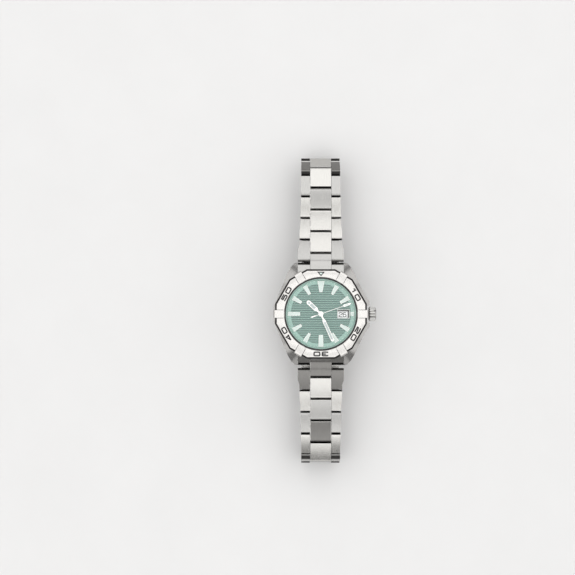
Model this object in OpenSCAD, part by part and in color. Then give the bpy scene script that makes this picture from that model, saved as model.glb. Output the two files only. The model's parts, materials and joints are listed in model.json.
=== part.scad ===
// Steel dive-style wristwatch on a three-piece link bracelet, closed in a loop that
// stands on its folding clasp. +X is 3 o'clock, +Y is 12 o'clock, +Z is out of the dial.
// The origin is the centre of the case back's outer face.

/* [Case] */
// Width of the case across 9 and 3 o'clock, without the crown
case_w = 42; // [41.6:0.1:42.4]
// Height of the middle case's top face above the case back
case_top = 7.6; // [7.5:0.1:7.7]
// Gap between the lugs
lug_gap = 20.6; // [20.4:0.1:20.8]
// Distance from the dial centre to a spring bar's axis
lug_bar_y = 20.6; // [20.4:0.1:20.8]

/* [Bezel and crystal] */
// Width of the bezel across its flats
bezel_w = 39.6; // [39.2:0.1:39.8]
// Inner radius of the bezel
bezel_r = 16.05; // [16.05:0.01:16.2]
// Reach of the six grip tabs from the dial centre
grip_reach = 21.1; // [20.6:0.1:21.3]
// Radius of the crystal
crystal_r = 15.9; // [15.8:0.05:15.9]
// Height of the crystal's top face
crystal_top = 10.7; // [10.6:0.1:10.9]

/* [Dial and hands] */
// Radius of the dial
dial_r = 15.55; // [15.4:0.05:15.55]
// Length of the hour hand
hour_len = 8.4; // [7:0.1:9]
// Length of the minute hand
minute_len = 13.4; // [12:0.1:14]
// Length of the seconds hand
seconds_len = 14.3; // [13:0.1:14.5]
// Time on the dial: clockwise angles of the three hands from 12
hour_angle = 313; // [0:1:359]
// Angle of the minute hand
minute_angle = 156; // [0:1:359]
// Angle of the seconds hand
seconds_angle = 70.6; // [0:0.2:359]

/* [Crown] */
// Radius of the crown over its flutes
crown_r = 3.2; // [3:0.1:3.3]
// Number of flutes round the crown
crown_flutes = 20; // [16:1:28]

/* [Bracelet] */
// Distance from one hinge to the next
pitch = 9.6; // [9.6:0.1:9.6]
// Thickness of every link
link_t = 3.6; // [3.4:0.1:3.6]
// Width of the centre links
centre_w = 9.3; // [9:0.1:9.4]
// Width of the bracelet where it reaches the clasp
end_w = 17; // [17:0.1:17.2]
// Bend at each hinge from the 12 o'clock end link round to the clasp, in degrees
bend_12 = [1, 1, 2, 12, 46, 64, 54, 0, 0, 0];
// Bend at each hinge from the 6 o'clock end link round to the clasp, in degrees
bend_6 = [2, 1, 2, 17, 60, 64.6, 33.4, 0, 0, 0];

/* [Clasp] */
// Width of the clasp cover
clasp_w = 17; // [17:0.1:17.4]
// Height of the clasp cover's walls
clasp_h = 4.4; // [4.2:0.1:4.4]

/* [Hidden] */
$fn = 64;
eps = 0.01;
ROWS = 10;

// heights in the head, from the case back up
back_floor = 0.9;
cavity_r = 15.6;
movement_r = 12.9;
plate_z = 4.9;
plate_t = 0.7;
dial_z = 6.0;
dial_t = 0.4;
crystal_z = 8.3;
neck_r = 17.3;
neck_top = 9.2;
stem_z = 4.2;

// bracelet
first_12 = 25.2;                // first hinge from the dial centre, towards 12 o'clock
first_6 = 26.2;                 // and towards 6 o'clock
first_z = 1.7;                  // its height
quarter = pitch / 4;            // hinge to the next piece's face
nose_r = quarter - 0.3;         // rounded end of a link about its hinge
pin_r = 0.6;
side_gap = 0.12;                // between a centre link and its outer links
taper = 0.56;                   // share of the extra width that each row keeps
steel = [0.78, 0.77, 0.74];
bright = [0.88, 0.88, 0.86];
dark_steel = [0.5, 0.5, 0.5];
brass = [0.8, 0.68, 0.4];
green = [0.25, 0.45, 0.38];
lume = [0.88, 0.93, 0.88];
rubber = [0.1, 0.1, 0.1];

function slope(bends, k) = k < 0 ? 0 : bends[k] + slope(bends, k - 1);
function hinge(bends, k) = k == 0 ? [bends == bend_6 ? first_6 : first_12, first_z] :
    hinge(bends, k - 1) + pitch * [cos(slope(bends, k - 1)), -sin(slope(bends, k - 1))];
function row_w(k) = end_w + (lug_gap - 0.2 - end_w) * pow(taper, k);

open_y = hinge(bend_12, ROWS)[0];        // adjuster bar, at the clasp's 12 o'clock end
link_y = -hinge(bend_6, ROWS)[0];        // link bar, at the clasp's 6 o'clock end
low_z = hinge(bend_12, ROWS)[1];         // middle height of the links that lie flat
floor_z = low_z - link_t / 2;

// clasp
wall = 0.9;
half_w = clasp_w / 2;
cover_pin_y = link_y + 4.6;
cover_pin_z = floor_z + 1.95;
blade_pin_y = open_y - 3.7;
blade_pin_z = floor_z + 3.0;
blade_pin_r = 0.5;
blade_w = 10;
adjuster_r = 0.75;

module ring(r_out, r_in, h) {
    difference() {
        cylinder(r = r_out, h = h);
        translate([0, 0, -eps]) cylinder(r = r_in, h = h + 2 * eps);
    }
}

// a rod along X, centred
module rod(r, l) {
    rotate([0, 90, 0]) cylinder(r = r, h = l, center = true);
}

// a side shape drawn in Y and Z, given a width along X, centred
module sideways(w) {
    rotate([90, 0, 90]) linear_extrude(w, center = true) children();
}

// ---------------------------------------------------------------- case
module case_outline() {
    w = case_w / 2;
    polygon([[-w, 3.2], [-14.6, 18.6], [-13.3, 20.8], [-11.7, 22.5], [-10.3, 22.8],
        [10.3, 22.8], [11.7, 22.5], [13.3, 20.8], [14.6, 18.6], [19.2, 9.0], [21.6, 5.4],
        [21.6, 3.9], [20.3, 3.5], [20.3, -3.5], [21.6, -3.9], [21.6, -5.4], [19.2, -9.0],
        [14.6, -18.6], [13.3, -20.8], [11.7, -22.5], [10.3, -22.8], [-10.3, -22.8],
        [-11.7, -22.5], [-13.3, -20.8], [-14.6, -18.6], [-w, -3.2]]);
}

module case_side() {
    polygon([[-22.8, 0.2], [-22.8, 2.8], [-21.4, 4.2], [-15.5, 7.0], [-13, case_top],
        [13, case_top], [15.5, 7.0], [21.4, 4.2], [22.8, 2.8], [22.8, 0.2], [21.6, -0.4],
        [18.6, -0.2], [16.5, 1.2], [-16.5, 1.2], [-18.6, -0.2], [-21.6, -0.4]]);
}

module lug_gap_cut() {
    difference() {
        translate([-lug_gap / 2, 14, -2]) cube([lug_gap, 12, 12]);
        translate([0, 0, -3]) cylinder(r = 18.9, h = 14);
    }
}

module mid_case() {
    color(steel) difference() {
        union() {
            intersection() {
                translate([0, 0, -1]) linear_extrude(10) case_outline();
                sideways(50) case_side();
            }
            translate([0, 0, 5]) cylinder(r = neck_r, h = neck_top - 5);
        }
        translate([0, 0, -1]) cylinder(r = cavity_r, h = 12);
        translate([0, 0, -1]) cylinder(r = 15.95, h = 3.8);
        translate([0, 0, -1]) cylinder(r = 17.1, h = 2.8);
        translate([0, 0, crystal_z]) cylinder(r = 16.5, h = 4);
        for (side = [0, 1]) mirror([0, side, 0]) {
            lug_gap_cut();
            translate([0, lug_bar_y, first_z + 0.2]) rod(0.5, 23.4);
        }
        translate([14, 0, stem_z]) rotate([0, 90, 0]) cylinder(r = 1.5, h = 12);
    }
}

module end_link(first_y) {
    color(steel) difference() {
        union() {
            difference() {
                sideways(lug_gap - 0.2) polygon([[15, 0], [22.6, 0], [22.75, 2.6],
                    [21.6, 3.9], [18, 5.4], [15, 5.4]]);
                translate([0, 0, -2]) cylinder(r = 19.05, h = 12);
            }
            sideways(centre_w) intersection() {
                translate([19.6, first_z - link_t / 2]) square([9, link_t]);
                union() {
                    translate([19.6, -2]) square([first_y - 19.6, 8]);
                    translate([first_y, first_z]) circle(nose_r);
                }
            }
        }
        translate([0, lug_bar_y, first_z + 0.2]) rod(0.8, 24);
        translate([0, first_y, first_z]) rod(pin_r + 0.05, 12);
    }
}

module end_link_12() { end_link(first_12); }
module end_link_6() { mirror([0, 1, 0]) end_link(first_6); }

// two sprung bars that hold the end links between the lugs
module case_spring_bars() {
    color(dark_steel) for (side = [-1, 1]) translate([0, side * lug_bar_y, first_z + 0.2]) {
        rod(0.72, lug_gap - 0.6);
        rod(0.45, lug_gap + 2.4);
    }
}

// ---------------------------------------------------------------- bezel and crystal
module bezel_outline() {
    // long flats under the numerals, short flats under the grip tabs
    a = bezel_w / 2;
    b = 20.3;
    // each corner is where a long flat and its neighbouring short flat meet
    t = (b - a * cos(30)) / sin(30);
    polygon([for (k = [0:5]) for (s = [-1, 1])
        a * [sin(60 * k), cos(60 * k)] + s * t * [cos(60 * k), -sin(60 * k)]]);
}

module bezel() {
    color(bright) difference() {
        union() {
            translate([0, 0, 7.95]) linear_extrude(1.95) bezel_outline();
            for (k = [0:5]) rotate([0, 0, 30 + 60 * k])
                translate([-1.75, 16.6, 8.3]) cube([3.5, grip_reach - 16.6, 1.8]);
        }
        translate([0, 0, 7]) cylinder(r = bezel_r, h = 5);
        translate([0, 0, 7]) cylinder(r = neck_r + 0.1, h = neck_top - 7 + 0.1);
    }
}

module bezel_click_spring() {
    color(brass) translate([0, 0, case_top + 0.03]) {
        ring(18.6, 17.5, 0.2);
        rotate([0, 0, 40]) translate([18.3, -0.6, 0]) cube([0.8, 1.2, 0.2]);
    }
}

module crystal() {
    color([0.85, 0.9, 0.9, 0.35]) translate([0, 0, crystal_z]) {
        cylinder(r = crystal_r, h = crystal_top - crystal_z - 0.3);
        translate([0, 0, crystal_top - crystal_z - 0.3])
            cylinder(r1 = crystal_r, r2 = crystal_r - 0.3, h = 0.3);
    }
}

module date_magnifier() {
    color([0.9, 0.95, 0.95, 0.35]) translate([10.1, 0, crystal_top]) intersection() {
        translate([-3.2, -2.4, 0]) cube([6.4, 4.8, 1.5]);
        translate([0, 0, -8.1]) sphere(r = 9.1);
    }
}

module crystal_gasket() {
    color(rubber) translate([0, 0, crystal_z]) ring(16.45, 15.93, 0.9);
}

module rehaut() {
    color(green) translate([0, 0, dial_z + dial_t]) difference() {
        cylinder(r = dial_r, h = crystal_z - dial_z - dial_t);
        translate([0, 0, -eps])
            cylinder(r1 = 14.95, r2 = 15.25, h = crystal_z - dial_z - dial_t + 2 * eps);
    }
}

// ---------------------------------------------------------------- dial and hands
date_x = 10;
date_win = [4.7, 3.4];

module dial() {
    color(green) translate([0, 0, dial_z]) difference() {
        cylinder(r = dial_r, h = dial_t);
        translate([0, 0, -1]) cylinder(r = 1.1, h = 3);
        translate([date_x - date_win[0] / 2, -date_win[1] / 2, -1])
            cube([date_win[0], date_win[1], 3]);
    }
}

// one applied marker from radius r_in to r_out, wider outside
module marker(r_in, r_out, w_in, w_out) {
    linear_extrude(0.55) polygon([[-w_in / 2, r_in], [w_in / 2, r_in], [w_out / 2, r_out],
        [-w_out / 2, r_out]]);
}

module hour_markers() {
    color(lume) translate([0, 0, dial_z + dial_t]) {
        marker(9.6, 14.5, 1.3, 3.2);
        for (h = [1, 2, 4, 5, 7, 8, 10, 11]) rotate([0, 0, -30 * h]) marker(9.9, 14.2, 1.25, 2.1);
        rotate([0, 0, 180]) marker(9.3, 14.5, 1.9, 2.4);
        rotate([0, 0, 90]) marker(9.2, 14.6, 1.5, 1.9);
        rotate([0, 0, -90]) marker(13.1, 14.7, 1.4, 2.0);
        translate([date_x, 0, 0]) difference() {
            translate([-2.65, -2.0, 0]) cube([5.3, 4.0, 0.3]);
            translate([-date_win[0] / 2, -date_win[1] / 2, -1])
                cube([date_win[0], date_win[1], 3]);
        }
    }
}

module date_disc() {
    color("white") translate([0, 0, 5.68]) ring(12.7, 7.3, 0.2);
}

// a hand's blade along +Y from a hub, with a neck, a body and a pointed end
module blade(len, neck_w, w, neck_y, t) {
    linear_extrude(t) polygon([[-neck_w / 2, 0], [-neck_w / 2, neck_y], [-w / 2, neck_y + 1],
        [-w / 2, len - 0.8], [0, len], [w / 2, len - 0.8], [w / 2, neck_y + 1],
        [neck_w / 2, neck_y], [neck_w / 2, 0]]);
}

// a hand on its pipe: the pipe runs from z_pipe up to the blade
module hand(z_pipe, z_blade, t, hub_r, pipe_r, hole_r) {
    difference() {
        union() {
            translate([0, 0, z_blade]) {
                children();
                cylinder(r = hub_r, h = t);
            }
            translate([0, 0, z_pipe]) cylinder(r = pipe_r, h = z_blade - z_pipe + t);
        }
        translate([0, 0, z_pipe - 1]) cylinder(r = hole_r, h = 6);
    }
}

module hour_hand() {
    color(bright) rotate([0, 0, -hour_angle])
        hand(5.0, 7.05, 0.22, 1.25, 0.95, 0.65) blade(hour_len, 0.9, 1.9, 2.2, 0.22);
}

module minute_hand() {
    color(bright) rotate([0, 0, -minute_angle])
        hand(5.0, 7.4, 0.22, 1.0, 0.6, 0.35) blade(minute_len, 0.8, 1.5, 3.0, 0.22);
}

module seconds_hand() {
    color(bright) rotate([0, 0, -seconds_angle]) {
        translate([0, 0, 7.75]) {
            linear_extrude(0.16) union() {
                polygon([[-0.2, -4.6], [-0.14, 11.0], [-0.5, 11.2], [-0.5, 13.2],
                    [-0.08, seconds_len], [0.08, seconds_len], [0.5, 13.2], [0.5, 11.2],
                    [0.14, 11.0], [0.2, -4.6]]);
                translate([-0.45, -4.9]) square([0.9, 1.9]);
            }
            cylinder(r = 0.75, h = 0.22);
        }
        translate([0, 0, 5.0]) cylinder(r = 0.3, h = 2.8);
    }
}

// ---------------------------------------------------------------- movement
barrel_at = [-5.2, 4.6];
balance_r = 6.9;
balance_a = -42;

module mainplate() {
    color(brass) translate([0, 0, plate_z]) difference() {
        cylinder(r = movement_r, h = plate_t);
        translate([0, 0, -1]) cylinder(r = 1.1, h = 3);
    }
}

module movement_holder() {
    color(dark_steel) difference() {
        translate([0, 0, 3.2]) ring(cavity_r - 0.05, movement_r + 0.05, dial_z - 3.2);
        translate([14, 0, stem_z]) rod(1.1, 8);
    }
}

module winding_barrel() {
    color(brass) translate([barrel_at[0], barrel_at[1], 3.5]) {
        cylinder(r = 5.2, h = 1.2);
        cylinder(r = 0.7, h = 1.35);
    }
}

module train_bridge() {
    color(steel) translate([0, 0, 2.7]) difference() {
        union() {
            intersection() {
                cylinder(r = movement_r, h = 0.7);
                translate([-13, -6, 0]) cube([26, 20, 1]);
            }
            translate([0, 0, -1.35]) cylinder(r = 0.9, h = 1.4);
            for (a = [20, 90, 180]) rotate([0, 0, a]) translate([11.6, 0, 0])
                cylinder(r = 0.9, h = plate_z - 2.7);
        }
        rotate([0, 0, balance_a]) translate([balance_r, 0, -1]) cylinder(r = 4.8, h = 3);
    }
}

module balance_wheel() {
    color(brass) rotate([0, 0, balance_a]) translate([balance_r, 0, 3.9]) {
        ring(3.8, 3.2, 0.5);
        for (a = [0, 90]) rotate([0, 0, a]) translate([-3.4, -0.25, 0.1]) cube([6.8, 0.5, 0.3]);
        translate([0, 0, -0.55]) cylinder(r = 0.35, h = 1.5);
    }
}

module balance_bridge() {
    foot = 5;
    color(steel) rotate([0, 0, balance_a]) translate([balance_r, 0, 2.7]) difference() {
        union() {
            cylinder(r = 1.3, h = 0.7);
            translate([0, -0.8, 0]) cube([foot, 1.6, 0.7]);
            translate([foot, 0, 0]) cylinder(r = 0.8, h = plate_z - 2.7);
        }
        translate([0, 0, 0.6]) cylinder(r = 0.4, h = 1);
    }
}

module rotor() {
    color(dark_steel) translate([0, 0, 1.3]) difference() {
        union() {
            intersection() {
                union() {
                    cylinder(r = 13.6, h = 0.5);
                    ring(13.6, 11.4, 1.2);
                }
                translate([-14, -14, -1]) cube([28, 14, 4]);
            }
            cylinder(r = 2.2, h = 0.7);
        }
        translate([0, 0, -1]) cylinder(r = 0.95, h = 4);
    }
}

// ---------------------------------------------------------------- crown
module winding_stem() {
    color(steel) translate([0, 0, stem_z]) rotate([0, 90, 0]) {
        translate([0, 0, 13.0]) cylinder(r = 0.55, h = 10.6);
    }
}

module crown_tube() {
    color(steel) translate([16.2, 0, stem_z]) rotate([0, 90, 0]) ring(1.45, 0.7, 5.3);
}

module crown() {
    flute = 0.28;
    color(bright) translate([21.05, 0, stem_z]) rotate([0, 90, 0]) difference() {
        union() {
            translate([0, 0, 0.3]) linear_extrude(2.9) polygon([for (i = [0:4 * crown_flutes - 1])
                (i % 4 < 2 ? crown_r : crown_r - flute)
                    * [cos(90 * i / crown_flutes), sin(90 * i / crown_flutes)]]);
            cylinder(r = 2.7, h = 0.4);
            translate([0, 0, 3.1]) cylinder(r1 = 2.8, r2 = 2.4, h = 0.4);
        }
        translate([0, 0, -1]) cylinder(r = 1.6, h = 1 + 1.6);
        translate([0, 0, -1]) cylinder(r = 0.6, h = 1 + 2.6);
    }
}

// ---------------------------------------------------------------- case back
module case_back() {
    color(steel) difference() {
        union() {
            cylinder(r1 = 15.6, r2 = 16.9, h = 1.2);
            cylinder(r = 15.9, h = 2.7);
        }
        translate([0, 0, back_floor]) cylinder(r = 14.8, h = 4);
        for (k = [0:5]) rotate([0, 0, 60 * k]) translate([-1.2, 14.6, -1]) cube([2.4, 4, 1.5]);
    }
}

module case_back_gasket() {
    color(rubber) translate([0, 0, 1.24]) ring(16.9, 16.0, 0.5);
}

// ---------------------------------------------------------------- bracelet rows
// the pair of outer links: rounded about the hinge at Y 0, flat at the far end
module outer_links(k) {
    w0 = row_w(k - 1) / 2;
    w1 = row_w(k) / 2;
    far = pitch - quarter;
    difference() {
        intersection() {
            linear_extrude(link_t, center = true) for (s = [-1, 1])
                polygon([[s * (centre_w / 2 + side_gap), -quarter], [s * w0, -quarter],
                    [s * (k == 1 ? w0 : (w0 + w1) / 2), far * 0.35],
                    [s * w1, far * 0.6], [s * w1, far], [s * (centre_w / 2 + side_gap), far]]);
            sideways(30) union() {
                translate([0, -link_t / 2]) square([far, link_t]);
                intersection() {
                    circle(nose_r);
                    translate([-5, -link_t / 2]) square([10, link_t]);
                }
            }
        }
        rod(pin_r + 0.02, 30);
        translate([0, pitch / 2, 0]) rod(pin_r + 0.02, 30);
    }
}

// the centre link: flat near end, rounded about the next hinge at the far end
module centre_link(last) {
    difference() {
        sideways(centre_w) union() {
            translate([quarter, -link_t / 2])
                square([pitch - quarter - (last ? adjuster_r + 0.2 : 0), link_t]);
            if (!last) intersection() {
                translate([pitch, 0]) circle(nose_r);
                translate([0, -link_t / 2]) square([15, link_t]);
            }
        }
        translate([0, pitch / 2, 0]) rod(pin_r + 0.02, 30);
        translate([0, pitch, 0]) rod(last ? adjuster_r + 0.3 : pin_r + 0.05, 30);
    }
}

// one row: two outer links, a centre link half a pitch further on, and two pins
module link_row(k, last) {
    color(steel) {
        outer_links(k);
        centre_link(last);
    }
    color(dark_steel) for (at = [0, pitch / 2])
        translate([0, at, 0]) rod(pin_r, row_w(k) - 0.7);
}

module place_row(bends, k) {
    at = hinge(bends, k - 1);
    translate([0, at[0], at[1]]) rotate([-slope(bends, k - 1), 0, 0]) children();
}

module link_row_12(k) { place_row(bend_12, k) link_row(k, k == ROWS); }
module link_row_6(k) { mirror([0, 1, 0]) place_row(bend_6, k) link_row(k, false); }

// ---------------------------------------------------------------- clasp
module clasp_cover() {
    plate_y0 = link_y + 2.3;
    plate_y1 = open_y - 1.3;
    color(steel) difference() {
        union() {
            translate([-half_w, plate_y0, floor_z]) cube([clasp_w, plate_y1 - plate_y0, wall]);
            for (s = [-1, 1]) translate([s * (half_w - wall / 2), 0, 0]) sideways(wall)
                polygon([[link_y - 1.6, floor_z], [open_y + 1.4, floor_z],
                    [open_y + 2.0, floor_z + 0.6], [open_y + 2.0, floor_z + 3.4],
                    [open_y + 0.6, floor_z + clasp_h], [link_y - 0.6, floor_z + clasp_h],
                    [link_y - 2.0, floor_z + 3.4], [link_y - 2.0, floor_z + 0.6]]);
        }
        translate([0, cover_pin_y, cover_pin_z]) rod(blade_pin_r + 0.05, 30);
        for (i = [0:2]) translate([0, open_y - 2.6 * i, low_z]) rod(0.5, 30);
        translate([0, 2, floor_z + 2.7]) cube([30, 3.5, 2.1], center = true);
    }
}

module clasp_middle_blade() {
    z0 = floor_z + 1.35;
    color(bright) difference() {
        union() {
            translate([-blade_w / 2, cover_pin_y, z0])
                cube([blade_w, blade_pin_y - cover_pin_y - 1.8, 0.9]);
            translate([-2.8, cover_pin_y, z0]) cube([5.6, blade_pin_y - cover_pin_y, 0.9]);
            translate([0, cover_pin_y, cover_pin_z]) rod(0.9, blade_w);
            translate([0, blade_pin_y, blade_pin_z]) rod(1.1, 5.6);
        }
        translate([0, cover_pin_y, cover_pin_z]) rod(blade_pin_r + 0.02, 30);
        translate([0, blade_pin_y, blade_pin_z]) rod(blade_pin_r + 0.02, 30);
    }
}

module clasp_lower_blade() {
    z0 = floor_z + 3.45;
    color(bright) difference() {
        union() {
            translate([-blade_w / 2, link_y + 2.5, z0])
                cube([blade_w, blade_pin_y - link_y - 4.2, 0.9]);
            translate([-7.2, link_y + 2.5, z0]) cube([14.4, 2.5, 0.9]);
            for (s = [-1, 1]) {
                translate([s * 4.1, 0, 0]) {
                    translate([0, blade_pin_y, blade_pin_z]) rod(1.1, 2.2);
                    translate([-1.1, blade_pin_y - 1.8, z0]) cube([2.2, 1.8, 0.65]);
                }
                translate([s * 6.1, 0, 0]) sideways(2.2) union() {
                    translate([link_y, low_z]) circle(1.75);
                    polygon([[link_y, low_z - 1.75], [link_y + 1.6, low_z - 1.75],
                        [link_y + 3.1, z0], [link_y + 3.1, z0 + 0.9], [link_y + 1.2, z0 + 0.9],
                        [link_y, low_z + 1.75]]);
                }
            }
        }
        translate([0, link_y, low_z]) rod(pin_r + 0.02, 30);
        translate([0, blade_pin_y, blade_pin_z]) rod(blade_pin_r + 0.05, 30);
    }
}

module clasp_hinge_pins() {
    color(dark_steel) {
        translate([0, cover_pin_y, cover_pin_z]) rod(blade_pin_r, clasp_w - 0.4);
        translate([0, blade_pin_y, blade_pin_z]) rod(blade_pin_r, 10.2);
    }
}

module clasp_link_bar() {
    color(dark_steel) translate([0, link_y, low_z]) rod(pin_r, 14.2);
}

module clasp_adjuster_bar() {
    color(dark_steel) translate([0, open_y, low_z]) {
        rod(adjuster_r, clasp_w - 2 * wall - 0.2);
        rod(0.45, clasp_w - 0.2);
    }
}

module clasp_button() {
    color(bright) translate([0, 2, floor_z + 2.7]) {
        translate([6.9, -1.6, -0.9]) cube([2.2, 3.2, 1.8]);
        translate([6.5, -2.3, -1.4]) cube([0.5, 4.6, 2.8]);
    }
}

module clasp_button_right() { clasp_button(); }
module clasp_button_left() { mirror([1, 0, 0]) clasp_button(); }

mid_case();
bezel();
bezel_click_spring();
crystal();
date_magnifier();
crystal_gasket();
rehaut();
dial();
hour_markers();
date_disc();
hour_hand();
minute_hand();
seconds_hand();
mainplate();
movement_holder();
winding_barrel();
train_bridge();
balance_wheel();
balance_bridge();
rotor();
winding_stem();
crown();
crown_tube();
case_back();
case_back_gasket();
end_link_12();
end_link_6();
case_spring_bars();
clasp_lower_blade();
clasp_middle_blade();
clasp_cover();
clasp_button_left();
clasp_button_right();
clasp_hinge_pins();
clasp_link_bar();
clasp_adjuster_bar();
for (k = [1:ROWS]) {
    link_row_12(k);
    link_row_6(k);
}
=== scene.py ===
"""Steel dive-style wristwatch on a closed link bracelet, lying dial up on its folding clasp.

All lengths in the code are millimetres; MM turns them into the frame's metres.
+X is 3 o'clock, +Y is 12 o'clock, +Z is out of the dial.
"""

import json
import math

import bmesh
import bpy
from mathutils import Matrix, Vector

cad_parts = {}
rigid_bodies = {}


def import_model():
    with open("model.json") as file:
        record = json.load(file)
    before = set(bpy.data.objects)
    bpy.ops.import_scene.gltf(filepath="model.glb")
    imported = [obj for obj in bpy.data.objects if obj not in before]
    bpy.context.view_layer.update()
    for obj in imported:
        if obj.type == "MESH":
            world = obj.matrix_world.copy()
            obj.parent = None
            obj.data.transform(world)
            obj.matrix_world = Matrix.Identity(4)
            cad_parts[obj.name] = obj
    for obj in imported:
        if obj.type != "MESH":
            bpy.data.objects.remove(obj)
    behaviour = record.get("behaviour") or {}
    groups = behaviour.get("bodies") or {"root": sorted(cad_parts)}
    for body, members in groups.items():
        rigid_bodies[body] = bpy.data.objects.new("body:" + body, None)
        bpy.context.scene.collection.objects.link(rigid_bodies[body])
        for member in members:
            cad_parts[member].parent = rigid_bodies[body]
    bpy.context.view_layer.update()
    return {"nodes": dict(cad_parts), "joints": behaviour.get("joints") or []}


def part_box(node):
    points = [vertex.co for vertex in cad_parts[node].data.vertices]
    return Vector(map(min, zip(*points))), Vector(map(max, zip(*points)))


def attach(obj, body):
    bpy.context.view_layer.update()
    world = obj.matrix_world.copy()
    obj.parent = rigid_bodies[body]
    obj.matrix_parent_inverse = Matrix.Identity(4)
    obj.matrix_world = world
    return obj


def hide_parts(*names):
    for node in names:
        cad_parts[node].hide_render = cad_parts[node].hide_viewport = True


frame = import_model()
MM = 0.001
JOINTS = {j["name"]: j for j in frame["joints"]}
scene = bpy.context.scene


def low(node):
    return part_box(node)[0] / MM


def high(node):
    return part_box(node)[1] / MM


FLOOR_Z = min(low("clasp_cover").z, low("link_row_12_8").z)


# ------------------------------------------------------------------ materials
class Shader:
    """A node material with a Principled shader and short ways to add nodes."""

    def __init__(self, name, **sockets):
        self.mat = bpy.data.materials.new(name)
        self.mat.use_nodes = True
        self.tree = self.mat.node_tree
        self.bsdf = self.tree.nodes["Principled BSDF"]
        for key, value in sockets.items():
            self.bsdf.inputs[key].default_value = value
        self.coord = self.tree.nodes.new("ShaderNodeTexCoord").outputs["Object"]

    def link(self, a, b):
        self.tree.links.new(a, b)

    def noise(self, scale, detail=3.0, rough=0.5, distortion=0.0):
        """Noise stretched by a scale for each axis, in features per metre."""
        mapping = self.tree.nodes.new("ShaderNodeMapping")
        mapping.inputs["Scale"].default_value = scale
        self.link(self.coord, mapping.inputs["Vector"])
        node = self.tree.nodes.new("ShaderNodeTexNoise")
        node.inputs["Scale"].default_value = 1.0
        node.inputs["Detail"].default_value = detail
        node.inputs["Roughness"].default_value = rough
        node.inputs["Distortion"].default_value = distortion
        self.link(mapping.outputs["Vector"], node.inputs["Vector"])
        return node.outputs["Fac"]

    def span(self, fac, lo, hi, a=0.0, b=1.0):
        """Maps fac from a..b to lo..hi."""
        node = self.tree.nodes.new("ShaderNodeMapRange")
        node.inputs["From Min"].default_value = a
        node.inputs["From Max"].default_value = b
        node.inputs["To Min"].default_value = lo
        node.inputs["To Max"].default_value = hi
        self.link(fac, node.inputs["Value"])
        return node.outputs["Result"]

    def blend(self, fac, one, two):
        """A colour between two, by fac."""
        node = self.tree.nodes.new("ShaderNodeValToRGB")
        node.color_ramp.elements[0].color = (*one, 1)
        node.color_ramp.elements[1].color = (*two, 1)
        node.color_ramp.elements[0].position = 0.3
        node.color_ramp.elements[1].position = 0.7
        self.link(fac, node.inputs["Fac"])
        self.link(node.outputs["Color"], self.bsdf.inputs["Base Color"])

    def rough(self, fac, lo, hi):
        self.link(self.span(fac, lo, hi, 0.3, 0.7), self.bsdf.inputs["Roughness"])

    def bump(self, fac, height, strength=1.0):
        node = self.tree.nodes.new("ShaderNodeBump")
        node.inputs["Distance"].default_value = height
        node.inputs["Strength"].default_value = strength
        self.link(fac, node.inputs["Height"])
        self.link(node.outputs["Normal"], self.bsdf.inputs["Normal"])


def brushed(name, along="Y", light=(0.57, 0.56, 0.535), dark=(0.47, 0.46, 0.44), r=(0.14, 0.26)):
    """Brushed steel: fine scratches along one axis."""
    s = Shader(name, Metallic=1.0)
    fine, slow = 9000, 220
    scale = tuple(slow if axis == along else fine for axis in "XYZ")
    grain = s.noise(scale, 4.0, 0.65)
    s.blend(grain, dark, light)
    s.rough(grain, *r)
    s.bump(grain, 0.000012, 0.55)
    return s.mat


def polished(name, light=(0.8, 0.79, 0.765), dark=(0.72, 0.71, 0.69), r=(0.05, 0.13)):
    """Polished steel with faint smears and hairlines."""
    s = Shader(name, Metallic=1.0)
    smear = s.noise((350, 350, 350), 5.0, 0.6, 0.6)
    s.blend(smear, dark, light)
    s.rough(smear, *r)
    hair = s.noise((14000, 500, 14000), 2.0)
    s.bump(hair, 0.000003, 0.25)
    return s.mat


def coated(name, one, two, r=(0.3, 0.45), grain=4000, height=0.000006, metal=0.0):
    """Paint, plastic or rubber with a fine grain."""
    s = Shader(name, Metallic=metal)
    fac = s.noise((grain,) * 3, 4.0, 0.6)
    s.blend(fac, one, two)
    s.rough(fac, *r)
    s.bump(fac, height, 0.5)
    return s.mat


STEEL = brushed("brushed_steel_long")
# painted shade: two darker copies of the same brushed steel, for links that catch less light
STEEL_PAINTED_HALF_SHADE = brushed("brushed_steel_painted_half_shade", light=(0.43, 0.425, 0.41), dark=(0.35, 0.345, 0.335))
STEEL_PAINTED_SHADE = brushed("brushed_steel_painted_shade", light=(0.2, 0.195, 0.185), dark=(0.15, 0.145, 0.14))
# painted shade: a darker copy of the brushed steel for the case, for the dark surroundings its
# faces reflect
CASE_STEEL_PAINTED_SHADE = brushed("brushed_steel_case_painted_shade", light=(0.35, 0.34, 0.33), dark=(0.27, 0.265, 0.255))
SHADE = brushed("steel_in_shade", along="X", light=(0.035, 0.034, 0.033), dark=(0.022, 0.021, 0.02),
                r=(0.3, 0.45))
STEEL_X = brushed("brushed_steel_across", along="X")
POLISH = polished("polished_steel")
# painted shade: a darker copy of the polished steel for the crown
CROWN_STEEL_PAINTED_SHADE = polished("polished_steel_crown_painted_shade", light=(0.52, 0.515, 0.5), dark=(0.4, 0.395, 0.385))
BEZEL_TOP = brushed("bezel_satin", light=(0.63, 0.615, 0.595), dark=(0.57, 0.555, 0.535),
                    r=(0.2, 0.3))
PIN = brushed("pin_steel", along="X", light=(0.36, 0.355, 0.35), dark=(0.24, 0.24, 0.24))
ENAMEL = coated("black_enamel", (0.006, 0.006, 0.006), (0.014, 0.013, 0.012), (0.55, 0.7))
GREEN_HIGH = coated("dial_green_ridge", (0.155, 0.265, 0.23), (0.178, 0.298, 0.258), (0.3, 0.4),
                    metal=0.35)
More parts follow.
